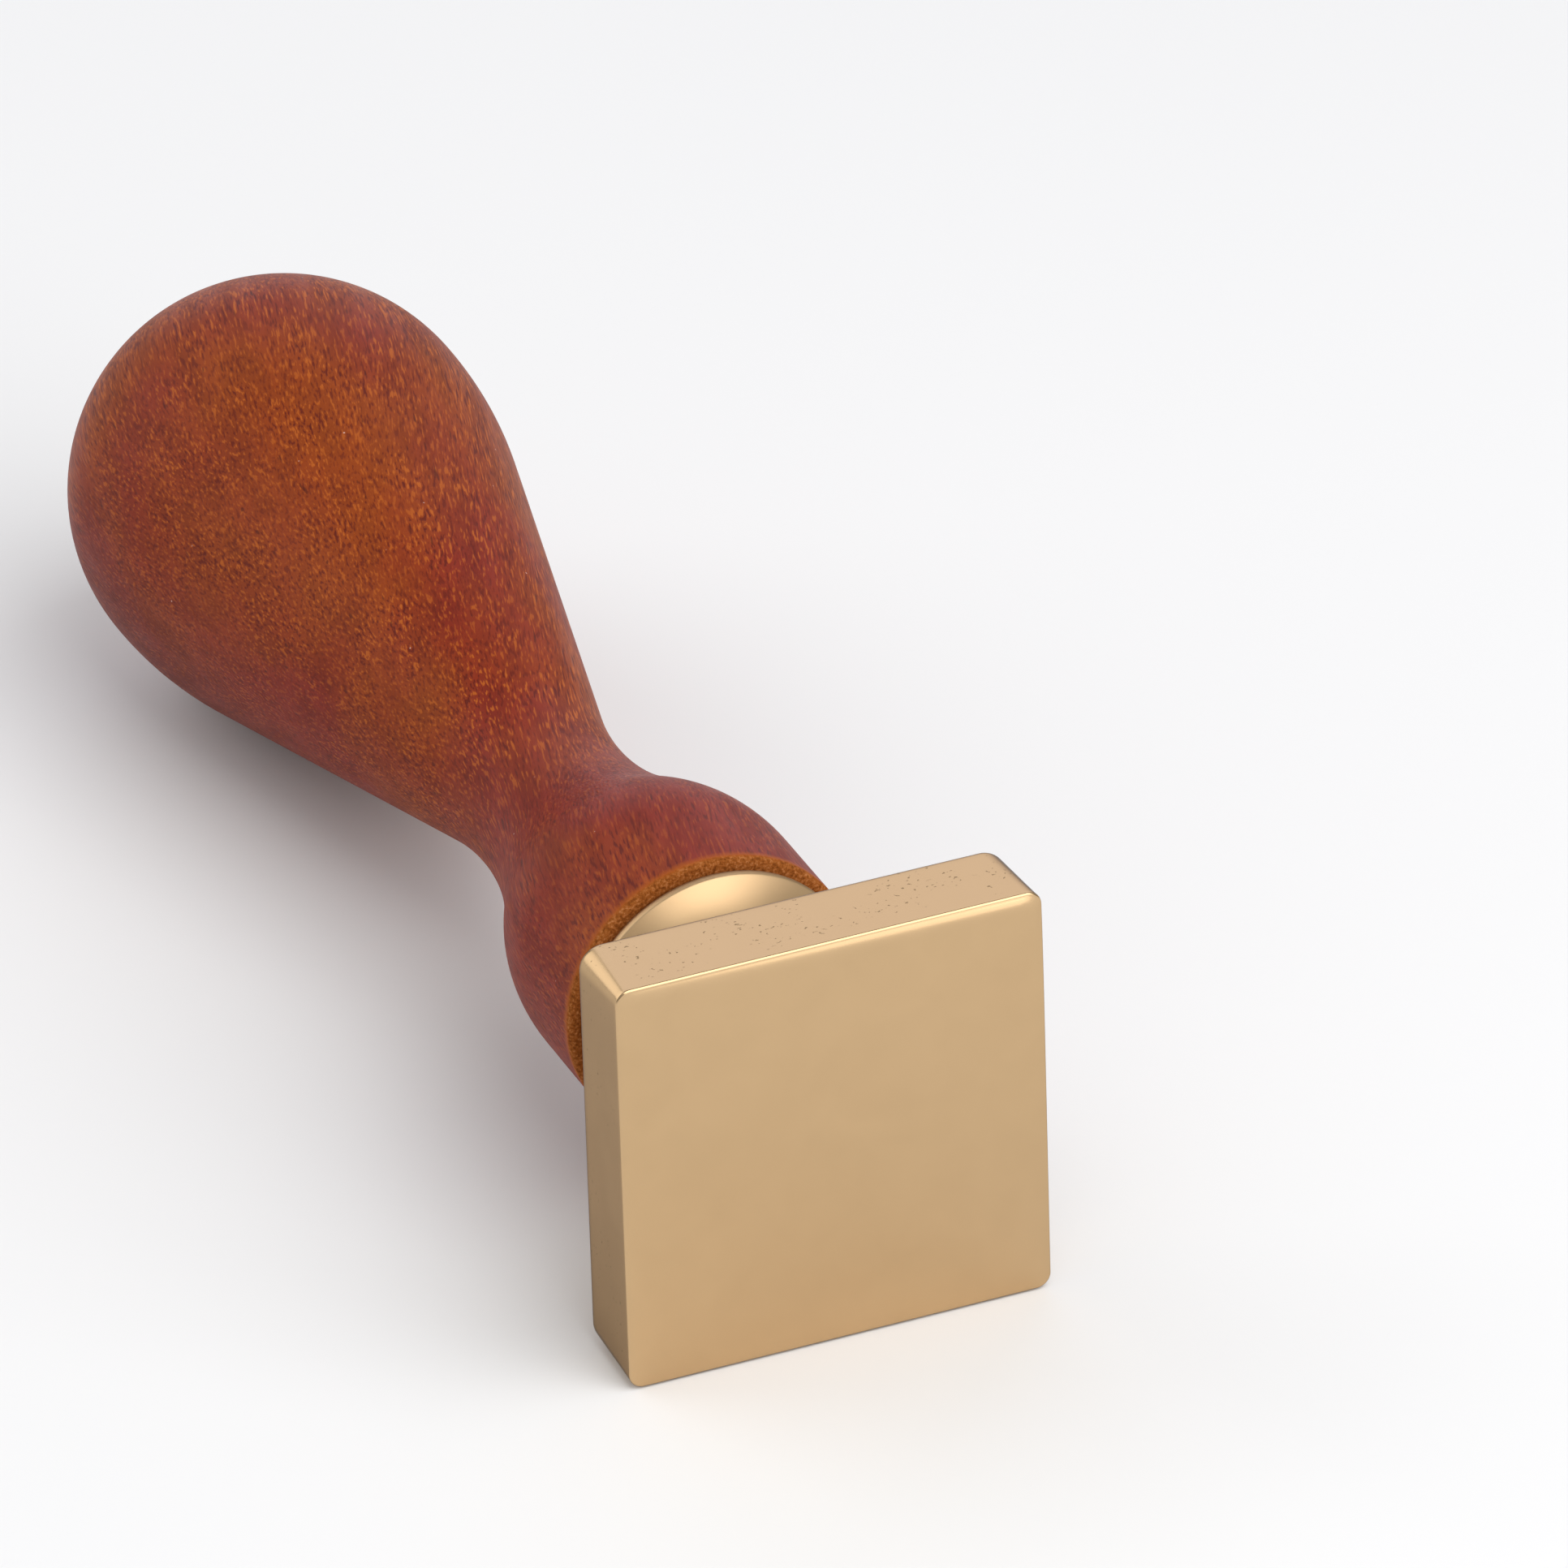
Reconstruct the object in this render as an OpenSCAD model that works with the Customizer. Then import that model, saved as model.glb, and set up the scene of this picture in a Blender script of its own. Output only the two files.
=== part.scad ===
// Seal stamp with a turned wooden handle and a screw-on square metal head.
// It lies on its side: +Z is up, the handle's axis runs along +Y, and the blank
// stamping face looks to -Y. The origin is on the floor, under the middle of the length.

/* [Head] */
// Side of the square stamping face
face_side = 25; // [18:0.5:30]
// Thickness of the square plate behind the face
plate_t = 5.8; // [3:0.1:9]
// Radius of the four corners of the plate
corner_r = 1.4; // [1:0.1:3]
// Rounding of the edge round the stamping face
face_edge_r = 0.2; // [0.1:0.05:0.9]
// Rounding of the edge round the back of the plate
back_edge_r = 0.7; // [0.2:0.05:0.9]
// Height of the round boss behind the plate
boss_h = 11.1; // [9:0.1:14]
// Diameter of the flange that seats against the wood
flange_d = 16.2; // [15.5:0.1:17]
// Thickness of the flange at its rim
flange_t = 0.7; // [0.6:0.1:1.5]
// Rounding of the edge of the flange's rim that faces the plate
flange_edge_r = 0.2; // [0.1:0.05:0.3]
// Rounding of the edge of the flange's rim that faces the wood
seat_edge_r = 0.5; // [0.2:0.05:0.55]
// Diameter of the boss where it meets the plate
neck_d = 12.4; // [11:0.1:13.5]
// Radius of the hollow curve between the neck and the flange
cove_r = 5.5; // [3:0.1:7]
// Rounding where the neck meets the plate
neck_fillet = 0.7; // [0.3:0.1:1]

/* [Handle] */
// Diameter of the foot of the handle
foot_d = 17.3; // [17:0.1:19]
// Height of the straight part of the foot
foot_h = 6.6; // [6:0.1:8]
// Radius of the rounded shoulder of the foot
shoulder_r = 14.3; // [12:0.1:16]
// Diameter of the waist
waist_d = 9.9; // [9.6:0.1:11]
// Height of the waist above the end of the foot
waist_h = 23.3; // [22:0.1:25]
// Diameter of the bulb
bulb_d = 25.2; // [22:0.1:28]
// Height of the middle of the bulb above the end of the foot
bulb_h = 64.1; // [60:0.1:72]
// Radius of the long curve between the taper and the bulb
bulb_blend_r = 36.5; // [25:0.5:40]
// Chamfer round the end of the foot
foot_chamfer = 0.35; // [0.1:0.05:0.6]

/* [Stud] */
// Nominal diameter of the stud
stud_d = 6; // [5:0.5:6]
// Length of the machine thread that stands out of the handle
machine_l = 9.5; // [7:0.1:9.8]
// Length of the wood thread inside the handle, with its point
wood_l = 16; // [12:0.5:18]
// Length of the point at the end of the wood thread
point_l = 4; // [2:0.5:6]
// Radial clearance round the stud in the handle and in the head
stud_clear = 0.05; // [0.02:0.01:0.1]
// Gap between the flange and the end of the foot
seat_gap = 0.1; // [0.05:0.01:0.2]

/* [Hidden] */

// Segments of a full turn, and of each arc of an outline
round_fn = 96;
arc_n = 16;
// Depth that each blind hole has beyond the end of the stud
hole_spare = 0.5;
// Chamfer on the end of the machine thread
stud_chamfer = 0.7;

foot_r = foot_d / 2;
waist_r = waist_d / 2;
bulb_r = bulb_d / 2;
flange_r = flange_d / 2;
neck_r = neck_d / 2;
stud_r = stud_d / 2;
hole_r = stud_r + stud_clear;

// Height of the axis over the floor, where the wider of the bulb and the plate rests
axis_h = max(bulb_r, face_side / 2);

// Heights along the axis, counted from the stamping face
flange_top = plate_t + boss_h;
foot_end = flange_top + seat_gap;
total_l = foot_end + bulb_h + bulb_r;

// The shoulder arc and the waist arc touch, which sets the waist arc's radius
shoulder_rise = foot_r - waist_r;
shoulder_run = waist_h - foot_h;
waist_arc_r = (shoulder_run * shoulder_run + shoulder_rise * shoulder_rise) / (2 * shoulder_rise) - shoulder_r;

// Centres of the outline's arcs as [radius from the axis, height above the foot's end]
shoulder_c = [foot_r - shoulder_r, foot_h];
waist_c = [waist_r + waist_arc_r, waist_h];
blend_c = [bulb_r - bulb_blend_r, bulb_h];

// Angle of the taper from the axis: the one line that touches both the waist arc and the blend arc
centre_step = blend_c - waist_c;
touch_angle = asin(shoulder_run / (shoulder_r + waist_arc_r));
taper_angle = atan2(centre_step[1], -centre_step[0]) - acos((waist_arc_r + bulb_blend_r) / norm(centre_step));

// Points of an arc round c from angle a0 to a1, with 0 degrees pointing away from the axis
function arc(c, r, a0, a1) =
    [for (i = [0:arc_n]) let (a = a0 + (a1 - a0) * i / arc_n) c + r * [cos(a), sin(a)]];

// Stands a solid that is drawn up the Z axis on the handle's axis, at a height above the stamping face
module on_axis(height) {
    translate([0, height - total_l / 2, axis_h]) rotate([-90, 0, 0]) children();
}

// Half outline of the handle: foot, shoulder, waist, taper, bulb
module handle_outline() {
    polygon(concat(
        [[0, 0], [foot_r - foot_chamfer, 0], [foot_r, foot_chamfer]],
        arc(shoulder_c, shoulder_r, 0, touch_angle),
        arc(waist_c, waist_arc_r, 180 + touch_angle, 180 - taper_angle),
        arc(blend_c, bulb_blend_r, -taper_angle, 0),
        arc([0, bulb_h], bulb_r, 0, 90)
    ));
}

module wood_handle() {
    color("#8a3a20") on_axis(foot_end) difference() {
        rotate_extrude($fn = round_fn) handle_outline();
        translate([0, 0, -1]) cylinder(r = hole_r, h = wood_l + hole_spare + 1, $fn = round_fn);
    }
}

// Steel stud: a wood thread with a point in the handle, a machine thread in the head
module threaded_stud() {
    color("#b9bcc0") on_axis(foot_end) rotate_extrude($fn = round_fn) polygon([
        [0, -machine_l],
        [stud_r - stud_chamfer, -machine_l],
        [stud_r, stud_chamfer - machine_l],
        [stud_r, wood_l - point_l],
        [0, wood_l]
    ]);
}

// Half section of the plate with its two rounded edges, out to a given reach
module edge_section(reach) {
    square([reach - max(face_edge_r, back_edge_r), plate_t]);
    translate([0, face_edge_r]) square([reach, plate_t - face_edge_r - back_edge_r]);
    square([reach - face_edge_r, plate_t / 2]);
    translate([0, plate_t / 2]) square([reach - back_edge_r, plate_t / 2]);
    translate([reach - face_edge_r, face_edge_r]) circle(r = face_edge_r, $fn = round_fn);
    translate([reach - back_edge_r, plate_t - back_edge_r]) circle(r = back_edge_r, $fn = round_fn);
}

// Straight bar across the plate with the edge section at both ends
module edge_bar() {
    bar_l = face_side - 2 * corner_r;
    for (side = [0, 1]) rotate([0, 0, 180 * side])
        translate([0, bar_l / 2, 0]) rotate([90, 0, 0]) linear_extrude(bar_l) edge_section(face_side / 2);
}

module square_plate() {
    corner_at = face_side / 2 - corner_r;
    for (turn = [0, 90]) rotate([0, 0, turn]) edge_bar();
    for (x = [-corner_at, corner_at], y = [-corner_at, corner_at])
        translate([x, y, 0]) rotate_extrude($fn = round_fn) edge_section(corner_r);
}

// Half outline of the boss: fillet, neck, hollow curve that runs smoothly into the rounded rim
module boss_outline() {
    cove_turn = acos(1 - (flange_r - neck_r) / (cove_r + flange_edge_r));
    rim_low = flange_top - flange_t;
    cove_bottom = rim_low - (cove_r + flange_edge_r) * sin(cove_turn);
    polygon(concat(
        [[0, plate_t - 1], [neck_r + neck_fillet, plate_t - 1]],
        arc([neck_r + neck_fillet, plate_t + neck_fillet], neck_fillet, 270, 180),
        arc([neck_r + cove_r, cove_bottom], cove_r, 180, 180 - cove_turn),
        arc([flange_r - flange_edge_r, rim_low], flange_edge_r, -cove_turn, 0),
        arc([flange_r - seat_edge_r, flange_top - seat_edge_r], seat_edge_r, 0, 90),
        [[0, flange_top]]
    ));
}

module stamp_head() {
    color("#c8a97e") on_axis(0) difference() {
        union() {
            square_plate();
            rotate_extrude($fn = round_fn) boss_outline();
        }
        translate([0, 0, foot_end - machine_l - hole_spare])
            cylinder(r = hole_r, h = machine_l + hole_spare + 1, $fn = round_fn);
    }
}

wood_handle();
threaded_stud();
stamp_head();
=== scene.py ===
"""Looks of the seal stamp: a turned, stained wooden handle, a polished square head and its steel stud.

Everything is in metres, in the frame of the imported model. The handle's axis runs along +Y, the
stamping face looks to -Y, and the stamp lies on the floor at z = 0.
"""
import math

import bpy
import bmesh
from mathutils import Matrix, Vector


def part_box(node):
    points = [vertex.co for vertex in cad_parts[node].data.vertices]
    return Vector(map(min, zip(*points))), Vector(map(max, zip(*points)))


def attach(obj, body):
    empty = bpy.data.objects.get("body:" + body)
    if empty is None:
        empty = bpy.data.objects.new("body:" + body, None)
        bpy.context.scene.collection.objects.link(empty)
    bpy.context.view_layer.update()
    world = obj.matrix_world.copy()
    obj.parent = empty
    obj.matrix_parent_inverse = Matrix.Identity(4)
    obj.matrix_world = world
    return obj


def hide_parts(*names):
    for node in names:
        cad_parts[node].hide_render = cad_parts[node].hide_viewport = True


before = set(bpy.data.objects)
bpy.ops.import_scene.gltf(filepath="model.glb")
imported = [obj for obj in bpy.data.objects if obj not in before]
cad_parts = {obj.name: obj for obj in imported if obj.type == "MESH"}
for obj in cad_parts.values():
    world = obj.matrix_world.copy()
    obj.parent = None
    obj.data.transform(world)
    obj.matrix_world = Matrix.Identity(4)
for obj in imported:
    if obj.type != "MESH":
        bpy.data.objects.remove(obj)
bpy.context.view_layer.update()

MM = 0.001

# ---------------------------------------------------------------- sizes read from the frame

head_lo, head_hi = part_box("stamp_head")
wood_lo, wood_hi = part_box("wood_handle")
stud_lo, stud_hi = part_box("threaded_stud")

face_y = head_lo[1]
flange_y = head_hi[1]
foot_y = wood_lo[1]
face_side = head_hi[0] - head_lo[0]
axis_z = (head_lo[2] + head_hi[2]) / 2
bulb_r = (wood_hi[0] - wood_lo[0]) / 2
bulb_h = wood_hi[1] - foot_y - bulb_r
stud_r = (stud_hi[0] - stud_lo[0]) / 2
machine_l = foot_y - stud_lo[1]
wood_l = stud_hi[1] - foot_y

# ---------------------------------------------------------------- sizes the frame doesn't give

# handle
FOOT_R = 8.65 * MM
FOOT_H = 6.6 * MM
SHOULDER_R = 14.3 * MM
WAIST_R = 4.95 * MM
WAIST_H = 23.3 * MM
BULB_BLEND_R = 36.5 * MM
FOOT_CHAMFER = 0.35 * MM

# head
PLATE_T = 5.8 * MM
CORNER_R = 1.4 * MM
FACE_CORNER_R = 0.85 * MM
FACE_EDGE_R = 0.14 * MM
BACK_EDGE_R = 0.7 * MM
FLANGE_R = 8.1 * MM
FLANGE_T = 0.7 * MM
FLANGE_EDGE_R = 0.2 * MM
SEAT_EDGE_R = 0.5 * MM
NECK_R = 6.2 * MM
COVE_R = 5.5 * MM
NECK_FILLET = 0.7 * MM
MOUTH_CHAMFER = 0.4 * MM

# soft roll of the face's rim, and how steeply it falls away towards the edge
FACE_ROLL_W = 1.0 * MM
FACE_ROLL_D = 0.07 * MM
FACE_ROLL_POWER = 3
# further roll along the top: its depth, how far back it fades out, how fast it grows up the plate,
# and its share in the middle of the top with what the right end adds
EXTRA_ROLL_D = 0.16 * MM
EXTRA_ROLL_FADE = 2.0 * MM
EXTRA_ROLL_POWER = 4
EXTRA_ROLL_MIDDLE = 0.55
EXTRA_ROLL_RIGHT = 0.45
# inset of the ring that keeps the plate's back flat beside its edge, in roundings of that edge
BACK_RING = 1.3

# stud and its holes
HOLE_R = stud_r + 0.05 * MM
HOLE_SPARE = 0.5 * MM
STUD_CHAMFER = 0.7 * MM
POINT_L = 4.0 * MM
MACHINE_PITCH = 1.0 * MM
WOOD_PITCH = 2.4 * MM
THREAD_DEPTH = 0.6 * MM
HEAD_THREAD_DEPTH = 0.45 * MM
# plain run beside the end of the foot, on the machine thread's side and on the wood thread's
MACHINE_RUN_OUT = 0.2 * MM
WOOD_RUN_OUT = 0.6 * MM
# plain run at the inner end of the head's hole
HEAD_RUN_OUT = 0.3 * MM
# rows of points in one pitch of a thread
THREAD_ROWS = 14
# how far beyond its own radius a thread takes hold of points
REACH_SPARE = 0.01 * MM

# ---------------------------------------------------------------- how finely the pieces are made

# steps round the turned pieces
HANDLE_STEPS = 192
STUD_STEPS = 72
# steps along a side and round a corner of a square ring
SIDE_STEPS = 20
CORNER_STEPS = 12
# steps from ring to ring on the face's roll, on each of the plate's edges and on its sides
FACE_ROLL_STEPS = 12
EDGE_STEPS = 10
PLATE_SIDE_STEPS = 16
# places of the flat face's rings, as shares of its half width
FLAT_SHARES = (0.04, 0.25, 0.5, 0.75, 0.9)
# points closer than this become one, in the lathe tree and in a finished shell
LATHE_WELD = 0.002 * MM
SHELL_WELD = 0.001 * MM
# edges stay sharp over these angles, in degrees
SHARP_ANGLE = 35
THREAD_SHARP_ANGLE = 60


# ---------------------------------------------------------------- outlines
# The last number given to arc and line is the number of steps.

def arc(centre, radius, start, end, steps):
    """Points of an arc in an outline. Angle 0 points away from the axis."""
    turn = [start + (end - start) * i / steps for i in range(steps + 1)]
    return [(centre[0] + radius * math.cos(a), centre[1] + radius * math.sin(a)) for a in turn]


def line(start, end, steps):
    """Evenly spaced points of a straight stretch, without its last point."""
    share = [i / steps for i in range(steps)]
    return [(start[0] + (end[0] - start[0]) * s, start[1] + (end[1] - start[1]) * s) for s in share]


def handle_outline():
    """Stud hole, end of the foot, foot, shoulder, waist, taper and bulb, as radius and height."""
    rise = FOOT_R - WAIST_R
    run = WAIST_H - FOOT_H
    waist_arc = (run ** 2 + rise ** 2) / (2 * rise) - SHOULDER_R
    waist_c = Vector((WAIST_R + waist_arc, WAIST_H))
    blend_c = Vector((bulb_r - BULB_BLEND_R, bulb_h))
    touch = math.asin(run / (SHOULDER_R + waist_arc))
    step = blend_c - waist_c
    taper = math.atan2(step[1], -step[0]) - math.acos((waist_arc + BULB_BLEND_R) / step.length)
    hole_l = wood_l + HOLE_SPARE
    chamfer = (FOOT_R - FOOT_CHAMFER, FOOT_CHAMFER)
    quarter = math.pi / 2
    hole = line((0, hole_l), (HOLE_R, hole_l), 2) + line((HOLE_R, hole_l), (HOLE_R, 0), 8)
    foot_end = line((HOLE_R, 0), (chamfer[0], 0), 10)
    foot_edge = arc(chamfer, FOOT_CHAMFER, -quarter, 0, 6)
    foot_side = line((FOOT_R, FOOT_CHAMFER), (FOOT_R, FOOT_H), 14)[1:]
    shoulder = arc((FOOT_R - SHOULDER_R, FOOT_H), SHOULDER_R, 0, touch, 24)
    waist = arc(waist_c, waist_arc, math.pi + touch, math.pi - taper, 40)[1:]
    blend = arc(blend_c, BULB_BLEND_R, -taper, 0, 24)
    taper_side = line(waist[-1], blend[0], 34)[1:]
    bulb = arc((0, bulb_h), bulb_r, 0, quarter, 48)[1:]
    return hole + foot_end + foot_edge + foot_side + shoulder + waist + taper_side + blend + bulb


def stud_outline():
    """Machine end with its chamfer, side in rows fine enough for the threads, and point."""
    tip = (stud_r - STUD_CHAMFER, -machine_l)
    shoulder = (stud_r, STUD_CHAMFER - machine_l)
    side_end = (stud_r, wood_l - POINT_L)
    machine_rows = int(machine_l / MACHINE_PITCH * THREAD_ROWS)
    wood_rows = int(wood_l / WOOD_PITCH * THREAD_ROWS)
    side = line(shoulder, (stud_r, 0), machine_rows) + line((stud_r, 0), side_end, wood_rows)
    end = line((0, -machine_l), tip, 4) + line(tip, shoulder, 8)
    return end + side + line(side_end, (0, wood_l), 24) + [(0, wood_l)]


# ---------------------------------------------------------------- geometry node trees

def new_tree(name, inputs):
    """An empty geometry tree with a geometry input and output, and the given named inputs."""
    tree = bpy.data.node_groups.new(name, "GeometryNodeTree")
    tree.interface.new_socket("Geometry", in_out="INPUT", socket_type="NodeSocketGeometry")
    tree.interface.new_socket("Geometry", in_out="OUTPUT", socket_type="NodeSocketGeometry")
    for label, kind in inputs:
        tree.interface.new_socket(label, in_out="INPUT", socket_type=kind)
    return tree, tree.nodes.new("NodeGroupInput"), tree.nodes.new("NodeGroupOutput")


def maths(tree, operation, first, second=None):
    """A maths node on sockets or numbers, as its result socket."""
    node = tree.nodes.new("ShaderNodeMath")
    node.operation = operation
    for slot, value in enumerate((first, second)):
        if isinstance(value, bpy.types.NodeSocket):
            tree.links.new(value, node.inputs[slot])
        elif value is not None:
            node.inputs[slot].default_value = value
    return node.outputs[0]


def end_tree(tree, given, result, shape):
    """Ends a tree with real geometry in the given material."""
    whole = tree.nodes.new("GeometryNodeRealizeInstances")
    tree.links.new(shape, whole.inputs[0])
    finish = tree.nodes.new("GeometryNodeSetMaterial")
    tree.links.new(whole.outputs[0], finish.inputs["Geometry"])
    tree.links.new(given.outputs["Material"], finish.inputs["Material"])
    tree.links.new(finish.outputs[0], result.inputs["Geometry"])


def lathe_tree():
    """Turns a row of outline points round the handle's axis into a closed shell."""
    tree, given, result = new_tree("lathe", [
        ("Steps round", "NodeSocketInt"), ("Axis height", "NodeSocketFloat"),
        ("Foot place", "NodeSocketFloat"), ("Material", "NodeSocketMaterial"),
    ])
    link = tree.links.new
    count = tree.nodes.new("GeometryNodeAttributeDomainSize")
    link(given.outputs["Geometry"], count.inputs["Geometry"])
    grid = tree.nodes.new("GeometryNodeMeshGrid")
    link(count.outputs["Point Count"], grid.inputs["Vertices X"])
    columns = maths(tree, "ADD", given.outputs["Steps round"], 1)
    link(columns, grid.inputs["Vertices Y"])

    index = tree.nodes.new("GeometryNodeInputIndex").outputs[0]
    row = maths(tree, "FLOOR", maths(tree, "DIVIDE", maths(tree, "ADD", index, 0.5), columns))
    column = maths(tree, "SUBTRACT", index, maths(tree, "MULTIPLY", row, columns))
    share = maths(tree, "DIVIDE", column, given.outputs["Steps round"])
    angle = maths(tree, "MULTIPLY", share, 2 * math.pi)

    position = tree.nodes.new("GeometryNodeInputPosition")
    sample = tree.nodes.new("GeometryNodeSampleIndex")
    sample.data_type = "FLOAT_VECTOR"
    link(given.outputs["Geometry"], sample.inputs["Geometry"])
    link(position.outputs[0], sample.inputs["Value"])
    link(row, sample.inputs["Index"])
    outline = tree.nodes.new("ShaderNodeSeparateXYZ")
    link(sample.outputs["Value"], outline.inputs[0])
    radius, height = outline.outputs["X"], outline.outputs["Y"]

    place = tree.nodes.new("ShaderNodeCombineXYZ")
    link(maths(tree, "MULTIPLY", radius, maths(tree, "COSINE", angle)), place.inputs["X"])
    link(maths(tree, "ADD", height, given.outputs["Foot place"]), place.inputs["Y"])
    up = maths(tree, "MULTIPLY", radius, maths(tree, "SINE", angle))
    link(maths(tree, "ADD", up, given.outputs["Axis height"]), place.inputs["Z"])

    turned = tree.nodes.new("GeometryNodeSetPosition")
    link(grid.outputs["Mesh"], turned.inputs["Geometry"])
    link(place.outputs[0], turned.inputs["Position"])
    closed = tree.nodes.new("GeometryNodeMergeByDistance")
    closed.inputs["Distance"].default_value = LATHE_WELD
    link(turned.outputs[0], closed.inputs["Geometry"])
    end_tree(tree, given, result, closed.outputs[0])
    return tree


# over 1, the bottom of the groove is flat
GROOVE_SLOPE = 1.25
# whole turns added so that the place along the thread is never below zero
TURNS_ADDED = 1000.0
# keeps the division safe for points on the axis
LEAST_RADIUS = 1e-6


def thread_tree():
    """Draws the points inside a radius in towards the axis, along a right-hand V thread."""
    tree, given, result = new_tree("thread", [
        ("Axis height", "NodeSocketFloat"), ("Start", "NodeSocketFloat"),
        ("End", "NodeSocketFloat"), ("Pitch", "NodeSocketFloat"), ("Depth", "NodeSocketFloat"),
        ("Root radius", "NodeSocketFloat"), ("Reach", "NodeSocketFloat"),
        ("Material", "NodeSocketMaterial"),
    ])
    link = tree.links.new
    place = tree.nodes.new("ShaderNodeSeparateXYZ")
    link(tree.nodes.new("GeometryNodeInputPosition").outputs[0], place.inputs[0])
    x, y = place.outputs["X"], place.outputs["Y"]
    z = maths(tree, "SUBTRACT", place.outputs["Z"], given.outputs["Axis height"])
    squares = maths(tree, "ADD", maths(tree, "MULTIPLY", x, x), maths(tree, "MULTIPLY", z, z))
    radius = maths(tree, "SQRT", squares)
    turn = maths(tree, "DIVIDE", maths(tree, "ARCTAN2", z, x), 2 * math.pi)
    along = maths(tree, "DIVIDE", y, given.outputs["Pitch"])
    phase = maths(tree, "FRACT", maths(tree, "ADD", maths(tree, "ADD", along, turn), TURNS_ADDED))
    swing = maths(tree, "SUBTRACT", maths(tree, "MULTIPLY", phase, 2.0), 1.0)
    valley = maths(tree, "SUBTRACT", 1.0, maths(tree, "ABSOLUTE", swing))
    groove = maths(tree, "MINIMUM", maths(tree, "MULTIPLY", valley, GROOVE_SLOPE), 1.0)
    wanted = maths(tree, "MULTIPLY", groove, given.outputs["Depth"])
    room = maths(tree, "MAXIMUM", maths(tree, "SUBTRACT", radius, given.outputs["Root radius"]), 0.0)
    cut = maths(tree, "MINIMUM", wanted, room)
    between = maths(tree, "MULTIPLY", maths(tree, "GREATER_THAN", y, given.outputs["Start"]),
                    maths(tree, "LESS_THAN", y, given.outputs["End"]))
    inside = maths(tree, "MULTIPLY", between, maths(tree, "LESS_THAN", radius, given.outputs["Reach"]))
    safe_radius = maths(tree, "MAXIMUM", radius, LEAST_RADIUS)
    share = maths(tree, "DIVIDE", maths(tree, "MULTIPLY", cut, inside), safe_radius)
    offset = tree.nodes.new("ShaderNodeCombineXYZ")
    link(maths(tree, "MULTIPLY", maths(tree, "MULTIPLY", x, share), -1.0), offset.inputs["X"])
    link(maths(tree, "MULTIPLY", maths(tree, "MULTIPLY", z, share), -1.0), offset.inputs["Z"])
    moved = tree.nodes.new("GeometryNodeSetPosition")
    link(given.outputs["Geometry"], moved.inputs["Geometry"])
    link(offset.outputs[0], moved.inputs["Offset"])
    end_tree(tree, given, result, moved.outputs[0])
    return tree


def apply_tree(piece, tree, values):
    """Runs a geometry tree on a piece and keeps the result as its plain mesh."""
    modifier = piece.modifiers.new(tree.name, "NODES")
    modifier.node_group = tree
    sockets = {s.name: s.identifier for s in tree.interface.items_tree if s.in_out == "INPUT"}
    for label, value in values.items():
        modifier[sockets[label]] = value
    shaped = piece.evaluated_get(bpy.context.evaluated_depsgraph_get())
    mesh = bpy.data.meshes.new_from_object(shaped)
    piece.modifiers.remove(modifier)
    piece.data = mesh
    mesh.name = piece.name


def close_up(piece, sharp_angle):
    """Merges doubled points, points the faces outwards, and keeps edges over the angle sharp."""
    shell = bmesh.new()
    shell.from_mesh(piece.data)
    bmesh.ops.remove_doubles(shell, verts=shell.verts, dist=SHELL_WELD)
    bmesh.ops.recalc_face_normals(shell, faces=shell.faces)
    shell.to_mesh(piece.data)
    shell.free()
    piece.data.shade_smooth()
    piece.data.set_sharp_from_angle(angle=math.radians(sharp_angle))
    return piece


def new_piece(name, points, faces=()):
    """A mesh in the scene, or a bare row of points when no faces are given."""
    mesh = bpy.data.meshes.new(name)
    mesh.from_pydata(points, [], faces)
    piece = bpy.data.objects.new(name, mesh)
    bpy.context.scene.collection.objects.link(piece)
    return piece


# ---------------------------------------------------------------- materials

# run of the grain against the handle's axis
GRAIN_TURN = math.radians(-14.6)

# STAIN_RED is the maroon of the stain's clouds; the painted shade on the lower left side also pushes the
# colour towards it
STAIN_RED = (0.222, 0.021, 0.008)
STAIN_ORANGE = (0.275, 0.048, 0.005)
DASH_DARK = (0.110, 0.010, 0.004)
DASH_LIGHT = (0.470, 0.110, 0.012)
PORE = (0.055, 0.006, 0.004)
SPECK = (0.75, 0.50, 0.42)
HALO = (0.380, 0.085, 0.004)
BARE_DARK = (0.170, 0.045, 0.006)
BARE = (0.320, 0.095, 0.016)
BARE_LIGHT = (0.500, 0.200, 0.070)

BRASS_LOW = (0.590, 0.403, 0.220)
BRASS_HIGH = (0.612, 0.419, 0.230)
BRASS_PIT = (0.34, 0.23, 0.12)
BRASS_EDGE_TINT = (0.32, 0.34, 0.40)

WOOD_SHINE = 0.11
BARE_ROUGHNESS = (0.85, 0.85, 0.85)
BOSS_ROUGHNESS = (0.46, 0.46, 0.46)

# how far the border of the bare wood wanders along the handle
BORDER_WANDER = 0.3 * MM

# heights of the surface marks
DASH_HEIGHT = 0.04 * MM
PORE_HEIGHT = 0.04 * MM
WAVE_HEIGHT = 0.02 * MM
GRAIN_HEIGHT = 0.004 * MM
PIT_HEIGHT = 0.03 * MM
TURNING_HEIGHT = 0.01 * MM


def new_material(name):
    """A new material, with its nodes, its links and its main shader."""
    material = bpy.data.materials.new(name)
    material.use_nodes = True
    nodes = material.node_tree.nodes
    return material, nodes, material.node_tree.links, nodes["Principled BSDF"]


def object_coords(nodes, links, scale):
    """Object coordinates, stretched by a Mapping node."""
    coords = nodes.new("ShaderNodeTexCoord")
    mapping = nodes.new("ShaderNodeMapping")
    mapping.inputs["Scale"].default_value = scale
    links.new(coords.outputs["Object"], mapping.inputs["Vector"])
    return mapping.outputs[0]


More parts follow.
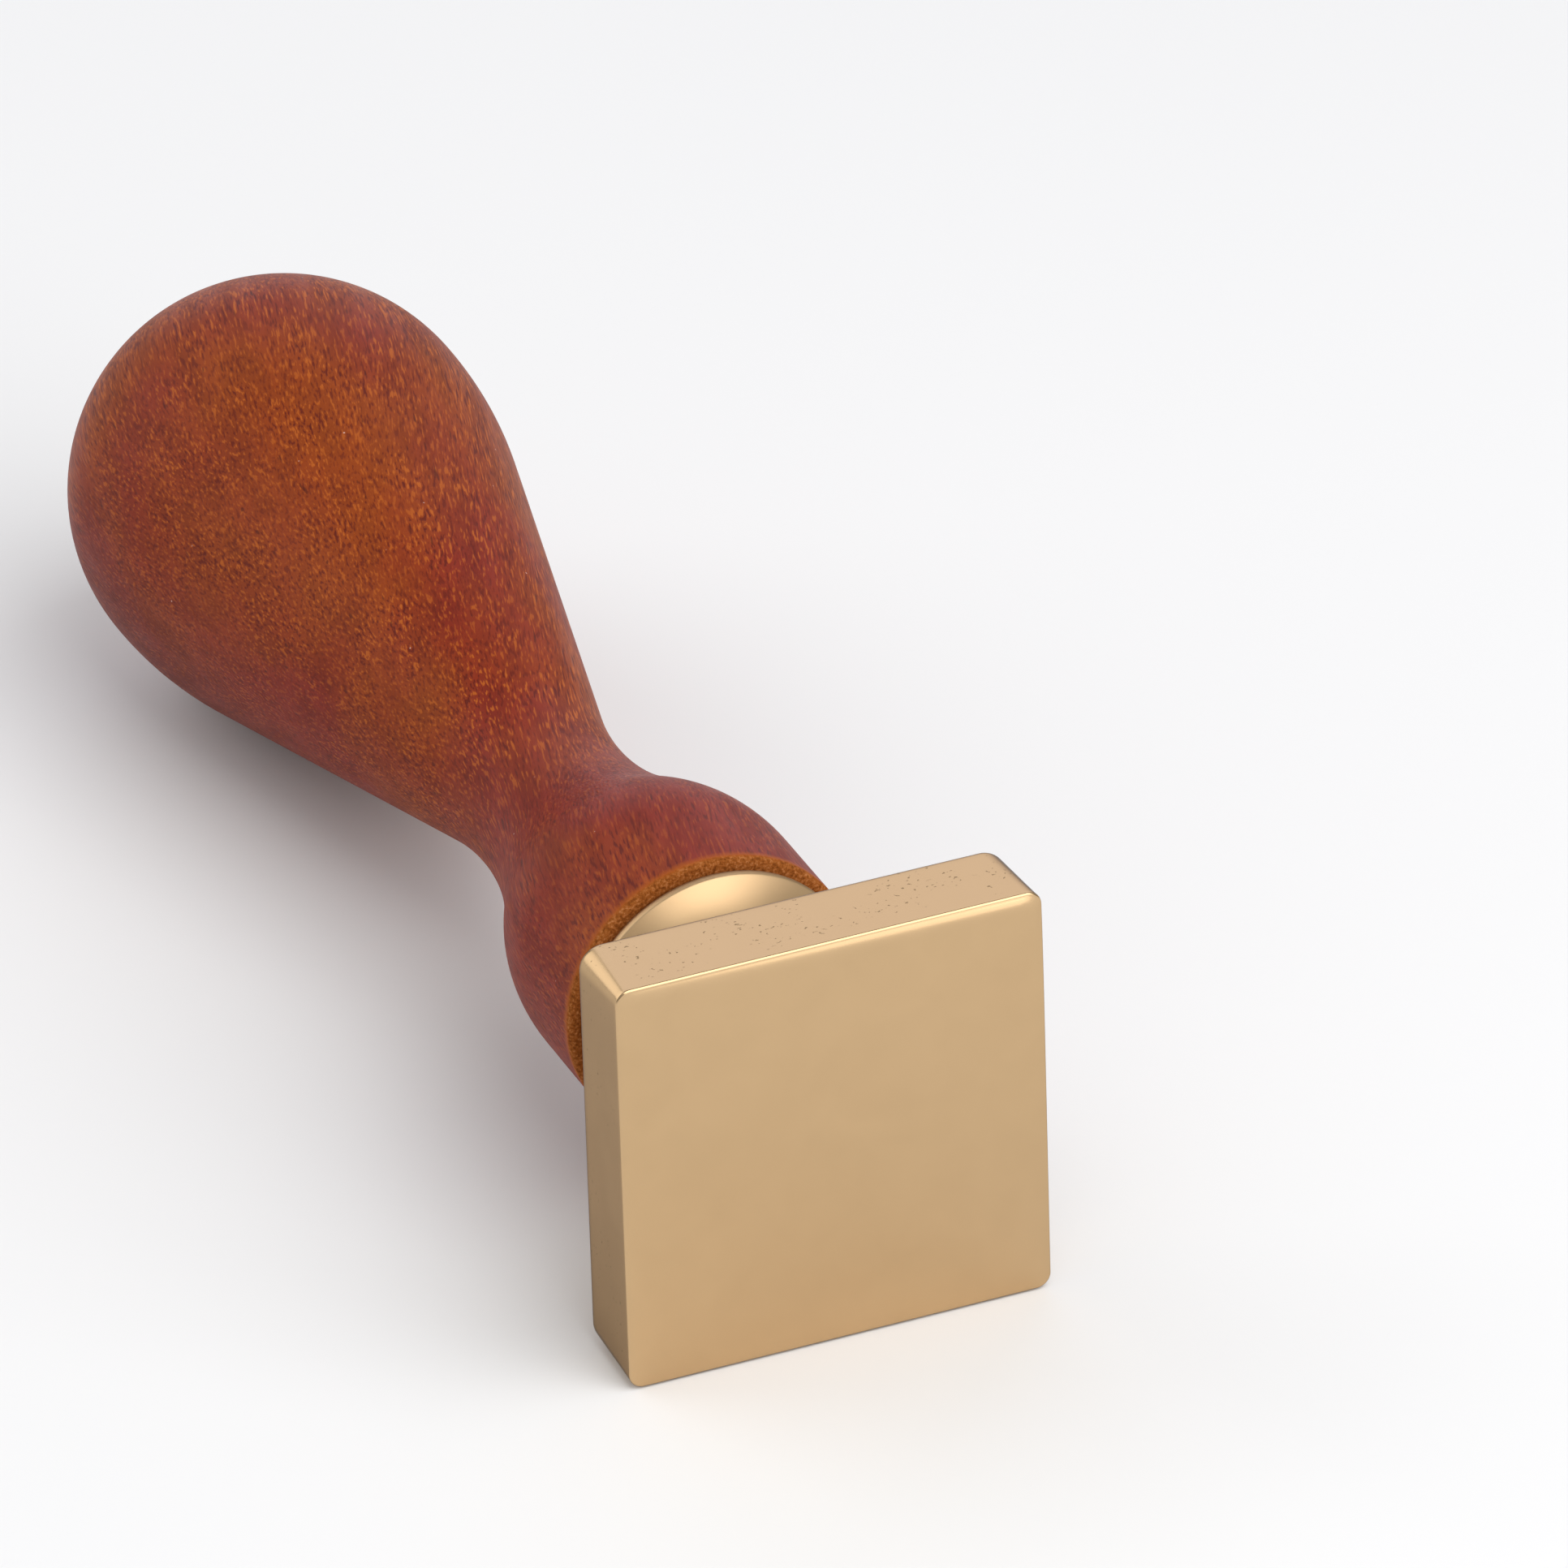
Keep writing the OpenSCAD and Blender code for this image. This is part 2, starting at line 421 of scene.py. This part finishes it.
def noise(nodes, links, vector, scale, detail, roughness=0.55, distortion=0.0):
    """A noise texture as its grey value."""
    node = nodes.new("ShaderNodeTexNoise")
    node.inputs["Scale"].default_value = scale
    node.inputs["Detail"].default_value = detail
    node.inputs["Roughness"].default_value = roughness
    node.inputs["Distortion"].default_value = distortion
    links.new(vector, node.inputs["Vector"])
    return node.outputs["Fac"]


def ramp(nodes, links, value, stops):
    """Colour ramp with stops given as (place, colour) or (place, grey)."""
    node = nodes.new("ShaderNodeValToRGB")
    while len(node.color_ramp.elements) < len(stops):
        node.color_ramp.elements.new(0.5)
    for element, (place, tone) in zip(node.color_ramp.elements, stops):
        element.position = place
        element.color = (*tone, 1) if isinstance(tone, tuple) else (tone, tone, tone, 1)
    links.new(value, node.inputs[0])
    return node.outputs[0]


def mix(nodes, links, kind, share, first, second):
    """Mixes two colours, each a socket or a plain colour."""
    node = nodes.new("ShaderNodeMix")
    node.data_type = "RGBA"
    node.blend_type = kind
    for slot, value in ((0, share), (6, first), (7, second)):
        if isinstance(value, bpy.types.NodeSocket):
            links.new(value, node.inputs[slot])
        else:
            node.inputs[slot].default_value = (*value, 1) if isinstance(value, tuple) else value
    return node.outputs[2]


def bump(nodes, links, height, distance, strength, under=None):
    """A bump node as its normal, on top of another bump when one is given."""
    node = nodes.new("ShaderNodeBump")
    node.inputs["Distance"].default_value = distance
    node.inputs["Strength"].default_value = strength
    links.new(height, node.inputs["Height"])
    if under:
        links.new(under, node.inputs["Normal"])
    return node.outputs[0]


def grain_coords(nodes, links, stretch):
    """Object coordinates turned to the run of the grain and stretched along it."""
    coords = nodes.new("ShaderNodeTexCoord")
    mapping = nodes.new("ShaderNodeMapping")
    mapping.vector_type = "TEXTURE"
    mapping.inputs["Rotation"].default_value = (0, 0, GRAIN_TURN)
    mapping.inputs["Scale"].default_value = (1, stretch, 1)
    links.new(coords.outputs["Object"], mapping.inputs["Vector"])
    return mapping.outputs[0]


def stained_wood():
    """Satin red-brown stain over a fine-pored wood, with bare end grain on the end of the foot, and painted
    shade that makes the lower left side darker and redder.
    """
    material, nodes, links, shader = new_material("stained_wood")

    def grain(scale, stretch, **kinds):
        return noise(nodes, links, grain_coords(nodes, links, stretch), scale, **kinds)

    def calc(operation, first, second):
        return maths(material.node_tree, operation, first, second)

    def paint(under, mask, strength, colour):
        return mix(nodes, links, "MIX", calc("MULTIPLY", mask, strength), under, colour)

    plain = object_coords(nodes, links, (1, 1, 1))
    place = nodes.new("ShaderNodeSeparateXYZ")
    links.new(plain, place.inputs[0])
    cloud = grain(85, 1.6, detail=2, distortion=0.3)
    figure = grain(700, 6, detail=3)
    dashes = grain(6600, 9, detail=1.5, roughness=0.5)
    pores = grain(3600, 8, detail=1, roughness=0.4)
    patches = grain(330, 1.5, detail=2)

    up_handle = calc("DIVIDE", calc("SUBTRACT", place.outputs["Y"], foot_y), WAIST_H)
    # lower_side: how far a point lies towards the lower left of the handle, the side facing down and away
    # from the lights
    sideways = calc("MULTIPLY", place.outputs["X"], -0.8)
    lowness = calc("MULTIPLY", calc("SUBTRACT", axis_z, place.outputs["Z"]), 0.6)
    lower_side = calc("DIVIDE", calc("ADD", sideways, lowness), bulb_r)
    # the colour is pushed redder towards the foot, and, as painted shade, towards the lower left side
    redder_foot_and_shade = calc("MAXIMUM", ramp(nodes, links, up_handle, [(0.6, 0.2), (1.1, 0.0)]),
                  ramp(nodes, links, lower_side, [(0.3, 0.0), (0.85, 0.2)]))
    stained = ramp(nodes, links, calc("SUBTRACT", cloud, redder_foot_and_shade), [(0.30, STAIN_RED), (0.56, STAIN_ORANGE)])
    # painted shade: the base colour is darkened towards the lower left side, standing in for the shade
    # under the lying handle
    painted_shade_below = ramp(nodes, links, lower_side, [(0.65, 1.0), (1.0, 0.72)])
    stain = mix(nodes, links, "MULTIPLY", 1.0, stained, painted_shade_below)
    streaks = ramp(nodes, links, figure, [(0.32, 0.66), (0.6, 1.0)])
    figured = mix(nodes, links, "MULTIPLY", 0.6, stain, streaks)
    dark = ramp(nodes, links, dashes, [(0.36, 1.0), (0.44, 0.0)])
    light = ramp(nodes, links, dashes, [(0.57, 0.0), (0.65, 1.0)])
    lively = ramp(nodes, links, patches, [(0.35, 0.5), (0.62, 1.0)])
    # fewer light dashes where the colour is pushed redder: towards the foot, and on the lower left side as
    # part of the painted shade
    faint = ramp(nodes, links, redder_foot_and_shade, [(0.0, 1.0), (0.2, 0.5)])
    dashed = paint(figured, calc("MULTIPLY", dark, lively), 0.9, DASH_DARK)
    dashed = paint(dashed, calc("MULTIPLY", light, calc("MULTIPLY", lively, faint)), 0.8, DASH_LIGHT)
    pored = paint(dashed, ramp(nodes, links, pores, [(0.22, 1.0), (0.29, 0.0)]), 0.6, PORE)
    dots = nodes.new("ShaderNodeTexVoronoi")
    dots.inputs["Scale"].default_value = 420
    links.new(plain, dots.inputs["Vector"])
    speck_mask = ramp(nodes, links, dots.outputs["Distance"], [(0.015, 1.0), (0.028, 0.0)])
    specked = paint(pored, speck_mask, 0.8, SPECK)

    ends = noise(nodes, links, plain, 5200, detail=3, roughness=0.7)
    bare = ramp(nodes, links, ends, [(0.34, BARE_DARK), (0.52, BARE), (0.70, BARE_LIGHT)])
    wander = noise(nodes, links, plain, 900, detail=2)
    shift = calc("MULTIPLY", calc("SUBTRACT", wander, 0.5), BORDER_WANDER)
    border = calc("ADD", place.outputs["Y"], shift)
    height = calc("DIVIDE", calc("SUBTRACT", border, foot_y), MM)
    haloed = paint(specked, ramp(nodes, links, height, [(0.35, 1.0), (0.8, 0.0)]), 0.8, HALO)
    is_bare = ramp(nodes, links, height, [(0.15, 1.0), (0.4, 0.0)])
    links.new(mix(nodes, links, "MIX", is_bare, haloed, bare), shader.inputs["Base Color"])

    satin = ramp(nodes, links, figure, [(0.3, 0.52), (0.7, 0.44)])
    links.new(mix(nodes, links, "MIX", is_bare, satin, BARE_ROUGHNESS), shader.inputs["Roughness"])
    shader.inputs["Specular IOR Level"].default_value = WOOD_SHINE
    fine = bump(nodes, links, dashes, DASH_HEIGHT, 0.8)
    links.new(bump(nodes, links, pores, PORE_HEIGHT, 0.4, under=fine), shader.inputs["Normal"])
    return material


def polished_brass():
    """Pale gold metal: softly polished on the plate, left matt with fine grain on the boss."""
    material, nodes, links, shader = new_material("polished_brass")

    def calc(operation, first, second):
        return maths(material.node_tree, operation, first, second)

    plain = object_coords(nodes, links, (1, 1, 1))
    place = nodes.new("ShaderNodeSeparateXYZ")
    links.new(plain, place.inputs[0])
    depth = calc("DIVIDE", calc("SUBTRACT", place.outputs["Y"], face_y), PLATE_T)
    off_face = ramp(nodes, links, depth, [(0.12, 0.0), (0.2, 1.0)])
    on_boss = ramp(nodes, links, depth, [(0.96, 0.0), (1.0, 1.0)])

    waves = noise(nodes, links, plain, 110, detail=2)
    smears = noise(nodes, links, plain, 320, detail=4, distortion=0.6)
    speckle = noise(nodes, links, plain, 9000, detail=2, roughness=0.7)
    pits = noise(nodes, links, object_coords(nodes, links, (1, 1.4, 1)), 3600, detail=2, roughness=0.5)
    groups = noise(nodes, links, plain, 420, detail=1)

    tone = ramp(nodes, links, smears, [(0.3, BRASS_LOW), (0.7, BRASS_HIGH)])
    holes = ramp(nodes, links, pits, [(0.285, 1.0), (0.33, 0.0)])
    grouped = calc("MULTIPLY", holes, ramp(nodes, links, groups, [(0.47, 0.0), (0.55, 1.0)]))
    pit_mask = calc("MULTIPLY", grouped, calc("SUBTRACT", off_face, on_boss))
    links.new(mix(nodes, links, "MIX", pit_mask, tone, BRASS_PIT), shader.inputs["Base Color"])
    shader.inputs["Metallic"].default_value = 1.0
    shader.inputs["Specular Tint"].default_value = (*BRASS_EDGE_TINT, 1)
    polish = ramp(nodes, links, smears, [(0.3, 0.22), (0.75, 0.26)])
    links.new(mix(nodes, links, "MIX", on_boss, polish, BOSS_ROUGHNESS), shader.inputs["Roughness"])
    slow = bump(nodes, links, waves, WAVE_HEIGHT, 0.2)
    coarseness = ramp(nodes, links, depth, [(0.12, 0.06), (0.2, 0.25), (0.98, 0.25), (1.0, 1.0)])
    grainy = calc("MULTIPLY", speckle, coarseness)
    fine = bump(nodes, links, grainy, GRAIN_HEIGHT, 0.6, under=slow)
    links.new(bump(nodes, links, pit_mask, PIT_HEIGHT, 0.5, under=fine), shader.inputs["Normal"])
    return material


def bright_steel():
    """Bright steel thread with faint turning marks."""
    material, nodes, links, shader = new_material("bright_steel")
    marks = noise(nodes, links, object_coords(nodes, links, (1, 8, 1)), 900, detail=3)
    links.new(ramp(nodes, links, marks, [(0.3, 0.5), (0.7, 0.66)]), shader.inputs["Base Color"])
    shader.inputs["Metallic"].default_value = 1.0
    links.new(ramp(nodes, links, marks, [(0.3, 0.36), (0.7, 0.24)]), shader.inputs["Roughness"])
    links.new(bump(nodes, links, marks, TURNING_HEIGHT, 0.3), shader.inputs["Normal"])
    return material


# ---------------------------------------------------------------- pieces

def lathe(name, outline, steps, material):
    """A piece turned from an outline of radius and height over the end of the foot."""
    piece = new_piece(name, [(r, h, 0) for r, h in outline])
    apply_tree(piece, lathe_tree(), {
        "Steps round": steps, "Axis height": axis_z, "Foot place": foot_y, "Material": material,
    })
    return piece


def cut_thread(piece, tree, start, end, pitch, depth, radius, material):
    """Cuts a thread into what a piece has at a radius, from one place on the Y axis to another."""
    apply_tree(piece, tree, {
        "Axis height": axis_z, "Start": start, "End": end, "Pitch": pitch, "Depth": depth,
        "Root radius": radius - depth, "Reach": radius + REACH_SPARE, "Material": material,
    })


def turned_handle(material):
    """Wood handle with its blind hole for the stud."""
    return close_up(lathe("turned_handle", handle_outline(), HANDLE_STEPS, material), SHARP_ANGLE)


def steel_stud(material):
    """Stud with a machine thread for the head and a wood thread for the handle."""
    piece = lathe("steel_stud", stud_outline(), STUD_STEPS, material)
    tree = thread_tree()
    for start, end, pitch in (
        (stud_lo[1], foot_y - MACHINE_RUN_OUT, MACHINE_PITCH),
        (foot_y + WOOD_RUN_OUT, stud_hi[1], WOOD_PITCH),
    ):
        cut_thread(piece, tree, start, end, pitch, THREAD_DEPTH, stud_r, material)
    return close_up(piece, THREAD_SHARP_ANGLE)


def square_ring(half, corner, y):
    """Ring of points round a rounded square, the same count for every ring."""
    ring = []
    reach = half - corner
    for quarter in range(4):
        turn = Matrix.Rotation(quarter * math.pi / 2, 2)
        for i in range(SIDE_STEPS):
            ring.append(turn @ Vector((half, -reach + 2 * reach * i / SIDE_STEPS)))
        for i in range(CORNER_STEPS):
            a = math.pi / 2 * i / CORNER_STEPS
            ring.append(turn @ Vector((reach + corner * math.cos(a), reach + corner * math.sin(a))))
    return [(p[0], y, axis_z + p[1]) for p in ring]


def round_ring(radius, y):
    """Ring of points round a circle that keeps the directions of the square rings."""
    ring = []
    for x, _, z in square_ring(face_side / 2, CORNER_R, y):
        direction = Vector((x, z - axis_z)).normalized() * radius
        ring.append((direction[0], y, axis_z + direction[1]))
    return ring


def boss_rings():
    """Neck fillet, hollow curve into a thin rounded rim, seat, and the threaded hole to its end."""
    quarter = math.pi / 2
    top = flange_y - face_y
    cove_turn = math.acos(1 - (FLANGE_R - NECK_R) / (COVE_R + FLANGE_EDGE_R))
    rim_low = top - FLANGE_T
    cove_bottom = rim_low - (COVE_R + FLANGE_EDGE_R) * math.sin(cove_turn)
    outline = arc((NECK_R + NECK_FILLET, PLATE_T + NECK_FILLET), NECK_FILLET, -quarter, -2 * quarter, 8)
    outline += line((NECK_R, PLATE_T + NECK_FILLET), (NECK_R, cove_bottom), 8)[1:]
    outline += arc((NECK_R + COVE_R, cove_bottom), COVE_R, math.pi, math.pi - cove_turn, 28)
    outline += arc((FLANGE_R - FLANGE_EDGE_R, rim_low), FLANGE_EDGE_R, -cove_turn, 0, 6)[1:]
    outline += arc((FLANGE_R - SEAT_EDGE_R, top - SEAT_EDGE_R), SEAT_EDGE_R, 0, quarter, 8)
    hole_end = foot_y - face_y - machine_l - HOLE_SPARE
    mouth = (HOLE_R, top - MOUTH_CHAMFER)
    rows = int((mouth[1] - hole_end) / MACHINE_PITCH * THREAD_ROWS)
    outline += line((FLANGE_R - SEAT_EDGE_R, top), (HOLE_R + MOUTH_CHAMFER, top), 6)[1:]
    outline += line((HOLE_R + MOUTH_CHAMFER, top), mouth, 4)
    outline += line(mouth, (HOLE_R, hole_end), rows)
    # the hole's flat end, which cast_head closes inside the last ring
    outline += [(HOLE_R, hole_end), (HOLE_R / 3, hole_end)]
    return [round_ring(r, face_y + h) for r, h in outline]


def roll_back(ring, depth, share):
    """Sinks a ring near the face where the rim is rolled most, along the top and to the right."""
    half = face_side / 2
    rolled = []
    for x, y, z in ring:
        upward = max((z - axis_z) / half, 0) ** EXTRA_ROLL_POWER
        rightward = EXTRA_ROLL_MIDDLE + EXTRA_ROLL_RIGHT * x / half
        fade = share * max(1 - depth / EXTRA_ROLL_FADE, 0)
        rolled.append((x, y + EXTRA_ROLL_D * upward * rightward * fade, z))
    return rolled


def plate_rings():
    """Face with its softly rolled rim, crisp face edge, sides, and softer back edge."""
    half = face_side / 2
    quarter = math.pi / 2
    side_from = FACE_ROLL_D + FACE_EDGE_R
    side_to = PLATE_T - BACK_EDGE_R

    def corner(depth):
        """Corner radius, which grows from the face to the back of the plate."""
        return FACE_CORNER_R + (CORNER_R - FACE_CORNER_R) * min(depth / side_to, 1)

    rings = []
    flat = half - FACE_EDGE_R - FACE_ROLL_W
    for share in FLAT_SHARES:
        rings.append(square_ring(flat * share, FACE_CORNER_R * share, face_y))
    for i in range(FACE_ROLL_STEPS):
        s = i / FACE_ROLL_STEPS
        inset = FACE_EDGE_R + FACE_ROLL_W * (1 - s)
        sunk = s ** FACE_ROLL_POWER
        ring = square_ring(half - inset, FACE_CORNER_R, face_y + FACE_ROLL_D * sunk)
        rings.append(roll_back(ring, 0, sunk))
    for i in range(EDGE_STEPS + 1):
        a = quarter * i / EDGE_STEPS
        inset = FACE_EDGE_R * (1 - math.sin(a))
        depth = FACE_ROLL_D + FACE_EDGE_R * (1 - math.cos(a))
        rings.append(roll_back(square_ring(half - inset, FACE_CORNER_R - inset, face_y + depth), depth, 1))
    for i in range(1, PLATE_SIDE_STEPS):
        depth = side_from + (side_to - side_from) * i / PLATE_SIDE_STEPS
        rings.append(roll_back(square_ring(half, corner(depth), face_y + depth), depth, 1))
    for i in range(EDGE_STEPS + 1):
        a = quarter * i / EDGE_STEPS
        inset = BACK_EDGE_R * (1 - math.cos(a))
        y = face_y + side_to + BACK_EDGE_R * math.sin(a)
        rings.append(square_ring(half - inset, CORNER_R - inset, y))
    rings.append(square_ring(half - BACK_EDGE_R * BACK_RING, CORNER_R - BACK_EDGE_R, face_y + PLATE_T))
    return rings


def cast_head(material):
    """Square plate and round boss as one closed skin over rings."""
    rings = plate_rings() + boss_rings()
    count = len(rings[0])
    points = [p for ring in rings for p in ring]
    faces = []
    for r in range(len(rings) - 1):
        for i in range(count):
            j = (i + 1) % count
            faces.append((r * count + i, r * count + j, (r + 1) * count + j, (r + 1) * count + i))
    faces.append(tuple(range(count)))
    faces.append(tuple((len(rings) - 1) * count + i for i in reversed(range(count))))
    piece = new_piece("cast_head", points, faces)
    start = foot_y - machine_l - HOLE_SPARE + HEAD_RUN_OUT
    end = flange_y - MOUTH_CHAMFER
    cut_thread(piece, thread_tree(), start, end, MACHINE_PITCH, HEAD_THREAD_DEPTH, HOLE_R, material)
    return close_up(piece, SHARP_ANGLE)


wood = stained_wood()
brass = polished_brass()
steel = bright_steel()

handle = turned_handle(wood)
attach(handle, "handle")
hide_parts("wood_handle")

head = cast_head(brass)
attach(head, "head")
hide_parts("stamp_head")

stud = steel_stud(steel)
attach(stud, "stud")
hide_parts("threaded_stud")

for node, material in (("wood_handle", wood), ("stamp_head", brass), ("threaded_stud", steel)):
    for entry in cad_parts[node].material_slots:
        entry.material = material


# ---------------------------------------------------------------- floor, light and camera

FLOOR_REACH = 4.0
FLOOR_CORNERS = ((-1, -1), (1, -1), (1, 1), (-1, 1))
FLOOR_GREY = (0.86, 0.86, 0.86, 1)
FLOOR_ROUGHNESS = 0.9
FLOOR_SHINE = 0.1


def studio_floor():
    """A wide, pale, matt floor, not attached to any of the stamp's bodies."""
    points = [(x * FLOOR_REACH, y * FLOOR_REACH, 0) for x, y in FLOOR_CORNERS]
    floor = new_piece("floor", points, [(0, 1, 2, 3)])
    material, _, _, shader = new_material("pale_floor")
    shader.inputs["Base Color"].default_value = FLOOR_GREY
    shader.inputs["Roughness"].default_value = FLOOR_ROUGHNESS
    shader.inputs["Specular IOR Level"].default_value = FLOOR_SHINE
    floor.data.materials.append(material)


def direction_to(azimuth, elevation):
    """Direction from the stamp, where azimuth 0 is in front of the face and 90 is along +X."""
    a, e = math.radians(azimuth), math.radians(elevation)
    return Vector((math.sin(a) * math.cos(e), -math.cos(a) * math.cos(e), math.sin(e)))


WHITE = (1, 1, 1)

# name, azimuth, elevation, distance, side, power and colour of each light
LIGHTS = (
    ("overhead", 22, 52, 0.6, 0.62, 2.95, WHITE),
    ("low_front", 20, 14, 0.8, 0.5, 1.2, WHITE),
    ("left_behind", -135, 28, 0.55, 0.5, 0.95, WHITE),
    ("behind", 160, 22, 1.0, 0.9, 2.3, (0.98, 1.0, 1.16)),
)
SURROUND_STRENGTH = 0.41


def soft_light(name, azimuth, elevation, distance, side, power, colour):
    """A square soft light aimed at the middle of the stamp."""
    toward = direction_to(azimuth, elevation)
    lamp = bpy.data.lights.new(name, "AREA")
    lamp.shape = "SQUARE"
    lamp.size = side
    lamp.energy = power
    lamp.color = colour
    holder = bpy.data.objects.new(name, lamp)
    holder.location = Vector((0, 0, axis_z)) + toward * distance
    holder.rotation_mode = "QUATERNION"
    holder.rotation_quaternion = toward.to_track_quat("Z", "Y")
    bpy.context.scene.collection.objects.link(holder)


def pale_surroundings(strength):
    """Even white light from all round."""
    world = bpy.data.worlds.new("studio")
    world.use_nodes = True
    background = world.node_tree.nodes["Background"]
    background.inputs["Color"].default_value = (*WHITE, 1)
    background.inputs["Strength"].default_value = strength
    bpy.context.scene.world = world


VIEW_AZIMUTH = -22.249
VIEW_ELEVATION = 29.939
VIEW_ROLL = -1.8155
VIEW_DISTANCE = 873.34 * MM
AIM = Vector((0, -40.96 * MM, 31.915 * MM))
SENSOR = 36.0
LENS = 372.67
CLIP_START = 0.05
CLIP_END = 50


def main_camera():
    """The camera, level but for a small roll."""
    back = direction_to(VIEW_AZIMUTH, VIEW_ELEVATION)
    right = Vector((0, 0, 1)).cross(back).normalized()
    up = back.cross(right)
    roll = math.radians(VIEW_ROLL)
    tilted_right = right * math.cos(roll) + up * math.sin(roll)
    tilted_up = up * math.cos(roll) - right * math.sin(roll)
    place = Matrix((tilted_right, tilted_up, back)).transposed().to_4x4()
    place.translation = AIM + back * VIEW_DISTANCE
    lens = bpy.data.cameras.new("camera")
    lens.lens = LENS
    lens.sensor_width = SENSOR
    lens.clip_start = CLIP_START
    lens.clip_end = CLIP_END
    camera = bpy.data.objects.new("camera", lens)
    camera.matrix_world = place
    bpy.context.scene.collection.objects.link(camera)
    bpy.context.scene.camera = camera


studio_floor()
pale_surroundings(SURROUND_STRENGTH)
for light in LIGHTS:
    soft_light(*light)
main_camera()
bpy.context.scene.view_settings.view_transform = "Standard"
